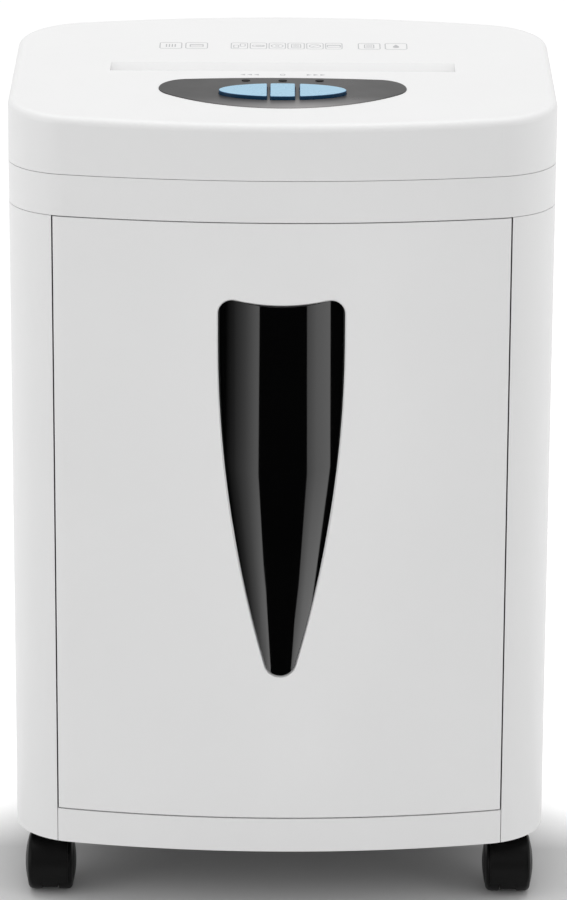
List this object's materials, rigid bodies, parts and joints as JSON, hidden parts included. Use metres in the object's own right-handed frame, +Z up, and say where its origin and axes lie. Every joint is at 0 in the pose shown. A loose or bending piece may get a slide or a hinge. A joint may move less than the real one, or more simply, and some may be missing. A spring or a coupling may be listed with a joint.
{
  "type": "paper shredder",
  "caption": "Freestanding paper shredder with a sloped top, paper slot, push buttons, a pull-out waste bin with a long window, and twin-wheel casters.",
  "frame": {"origin": "on the floor under the centre of the body", "axes": "+Z up, -Y towards the front with the drawer, +X to the right seen from the front"},
  "size_m": [0.366, 0.258, 0.5746],
  "materials": {
    "shell_white": "satin moulded",
    "door_white": "satin moulded",
    "window_black": "high gloss",
    "bezel_grey": "satin",
    "button_blue": "satin",
    "lens_black": "gloss",
    "caster_black": "satin",
    "wheel_black": "satin nylon",
    "zinc_steel": "zinc plated",
    "cutter_steel": "ground and oiled",
    "frame_steel": "zinc plated sheet",
    "gear_nylon": "natural nylon",
    "bush_bronze": "sintered",
    "motor_metal": "satin",
    "board_green": "solder mask",
    "fitting_black": "satin",
    "bin_grey": "moulded",
    "inner_grey": "moulded"
  },
  "bodies": {
    "root": {"back_panel": "shell_white", "base_plate": "inner_grey", "cabinet_screws": "zinc_steel", "caster_stems": "zinc_steel", "control_bezel": "bezel_grey", "control_board": "board_green", "cutter_bushes": "bush_bronze", "cutter_frame_left": "frame_steel", "cutter_frame_right": "frame_steel", "deck": "inner_grey", "drawer_rails": "inner_grey", "front_plinth": "shell_white", "front_stripper_comb": "inner_grey", "gear_spindle": "zinc_steel", "housing_screws": "zinc_steel", "indicator_lenses": "lens_black", "inlet_socket": "fitting_black", "interlock_switch": "fitting_black", "lower_housing": "shell_white", "motor_housing": "motor_metal", "paper_guide": "inner_grey", "paper_sensors": "fitting_black", "power_board": "board_green", "rear_stripper_comb": "inner_grey", "side_panel_left": "shell_white", "side_panel_right": "shell_white", "tact_switches": "fitting_black", "tie_rods": "zinc_steel", "top_cover": "shell_white"},
    "drawer": {"drawer_front": "door_white", "drawer_window": "window_black", "waste_bin": "bin_grey", "drawer_glides": "bin_grey", "drawer_screws": "zinc_steel"},
    "front_cutter": {"front_cutter": "cutter_steel", "front_sync_gear": "cutter_steel"},
    "rear_cutter": {"rear_cutter": "cutter_steel", "rear_sync_gear": "cutter_steel", "drive_gear": "gear_nylon"},
    "compound_gear": {"compound_gear": "gear_nylon"},
    "motor_shaft": {"motor_shaft": "zinc_steel"},
    "button_reverse": {"button_reverse": "button_blue"},
    "button_off": {"button_off": "button_blue"},
    "button_auto": {"button_auto": "button_blue"},
    "caster_front_left": {"caster_hood_front_left": "caster_black", "caster_axle_front_left": "zinc_steel"},
    "wheel_a_front_left": {"wheel_a_front_left": "wheel_black"},
    "wheel_b_front_left": {"wheel_b_front_left": "wheel_black"},
    "caster_front_right": {"caster_hood_front_right": "caster_black", "caster_axle_front_right": "zinc_steel"},
    "wheel_a_front_right": {"wheel_a_front_right": "wheel_black"},
    "wheel_b_front_right": {"wheel_b_front_right": "wheel_black"},
    "caster_rear_left": {"caster_hood_rear_left": "caster_black", "caster_axle_rear_left": "zinc_steel"},
    "wheel_a_rear_left": {"wheel_a_rear_left": "wheel_black"},
    "wheel_b_rear_left": {"wheel_b_rear_left": "wheel_black"},
    "caster_rear_right": {"caster_hood_rear_right": "caster_black", "caster_axle_rear_right": "zinc_steel"},
    "wheel_a_rear_right": {"wheel_a_rear_right": "wheel_black"},
    "wheel_b_rear_right": {"wheel_b_rear_right": "wheel_black"}
  },
  "joints": [
    {"name": "drawer_slide", "type": "slide", "parent": "root", "child": "drawer", "axis": [0, -1, 0], "range_m": [0, 0.2]},
    {"name": "button_reverse_press", "type": "slide", "parent": "root", "child": "button_reverse", "axis": [0, 0.0745, -0.9972], "range_m": [0, 0.0015], "stiffness_N_per_m": 400, "springref_m": -0.0008},
    {"name": "button_off_press", "type": "slide", "parent": "root", "child": "button_off", "axis": [0, 0.0745, -0.9972], "range_m": [0, 0.0015], "stiffness_N_per_m": 400, "springref_m": -0.0008},
    {"name": "button_auto_press", "type": "slide", "parent": "root", "child": "button_auto", "axis": [0, 0.0745, -0.9972], "range_m": [0, 0.0015], "stiffness_N_per_m": 400, "springref_m": -0.0008},
    {"name": "rear_cutter_spin", "type": "hinge", "parent": "root", "child": "rear_cutter", "pos_m": [0, 0.018, 0.524], "axis": [1, 0, 0], "continuous": true},
    {"name": "front_cutter_spin", "type": "hinge", "parent": "root", "child": "front_cutter", "pos_m": [0, -0.01, 0.524], "axis": [1, 0, 0], "continuous": true},
    {"name": "compound_gear_spin", "type": "hinge", "parent": "root", "child": "compound_gear", "pos_m": [0, 0.0541, 0.53417], "axis": [1, 0, 0], "continuous": true},
    {"name": "motor_shaft_spin", "type": "hinge", "parent": "root", "child": "motor_shaft", "pos_m": [0, 0.084, 0.526], "axis": [1, 0, 0], "continuous": true},
    {"name": "caster_swivel_front_left", "type": "hinge", "parent": "root", "child": "caster_front_left", "pos_m": [-0.159, -0.07, 0.04], "axis": [0, 0, 1], "continuous": true},
    {"name": "wheel_a_spin_front_left", "type": "hinge", "parent": "caster_front_left", "child": "wheel_a_front_left", "pos_m": [-0.159, -0.082, 0.02], "axis": [1, 0, 0], "continuous": true},
    {"name": "wheel_b_spin_front_left", "type": "hinge", "parent": "caster_front_left", "child": "wheel_b_front_left", "pos_m": [-0.159, -0.082, 0.02], "axis": [1, 0, 0], "continuous": true},
    {"name": "caster_swivel_front_right", "type": "hinge", "parent": "root", "child": "caster_front_right", "pos_m": [0.159, -0.07, 0.04], "axis": [0, 0, 1], "continuous": true},
    {"name": "wheel_a_spin_front_right", "type": "hinge", "parent": "caster_front_right", "child": "wheel_a_front_right", "pos_m": [0.159, -0.082, 0.02], "axis": [1, 0, 0], "continuous": true},
    {"name": "wheel_b_spin_front_right", "type": "hinge", "parent": "caster_front_right", "child": "wheel_b_front_right", "pos_m": [0.159, -0.082, 0.02], "axis": [1, 0, 0], "continuous": true},
    {"name": "caster_swivel_rear_left", "type": "hinge", "parent": "root", "child": "caster_rear_left", "pos_m": [-0.159, 0.07, 0.04], "axis": [0, 0, 1], "continuous": true},
    {"name": "wheel_a_spin_rear_left", "type": "hinge", "parent": "caster_rear_left", "child": "wheel_a_rear_left", "pos_m": [-0.159, 0.082, 0.02], "axis": [1, 0, 0], "continuous": true},
    {"name": "wheel_b_spin_rear_left", "type": "hinge", "parent": "caster_rear_left", "child": "wheel_b_rear_left", "pos_m": [-0.159, 0.082, 0.02], "axis": [1, 0, 0], "continuous": true},
    {"name": "caster_swivel_rear_right", "type": "hinge", "parent": "root", "child": "caster_rear_right", "pos_m": [0.159, 0.07, 0.04], "axis": [0, 0, 1], "continuous": true},
    {"name": "wheel_a_spin_rear_right", "type": "hinge", "parent": "caster_rear_right", "child": "wheel_a_rear_right", "pos_m": [0.159, 0.082, 0.02], "axis": [1, 0, 0], "continuous": true},
    {"name": "wheel_b_spin_rear_right", "type": "hinge", "parent": "caster_rear_right", "child": "wheel_b_rear_right", "pos_m": [0.159, 0.082, 0.02], "axis": [1, 0, 0], "continuous": true}
  ],
  "couplings": [
    {"joint": "front_cutter_spin", "follows": "rear_cutter_spin", "ratio": -1},
    {"joint": "compound_gear_spin", "follows": "rear_cutter_spin", "ratio": -2.5714},
    {"joint": "motor_shaft_spin", "follows": "rear_cutter_spin", "ratio": 10.714}
  ]
}
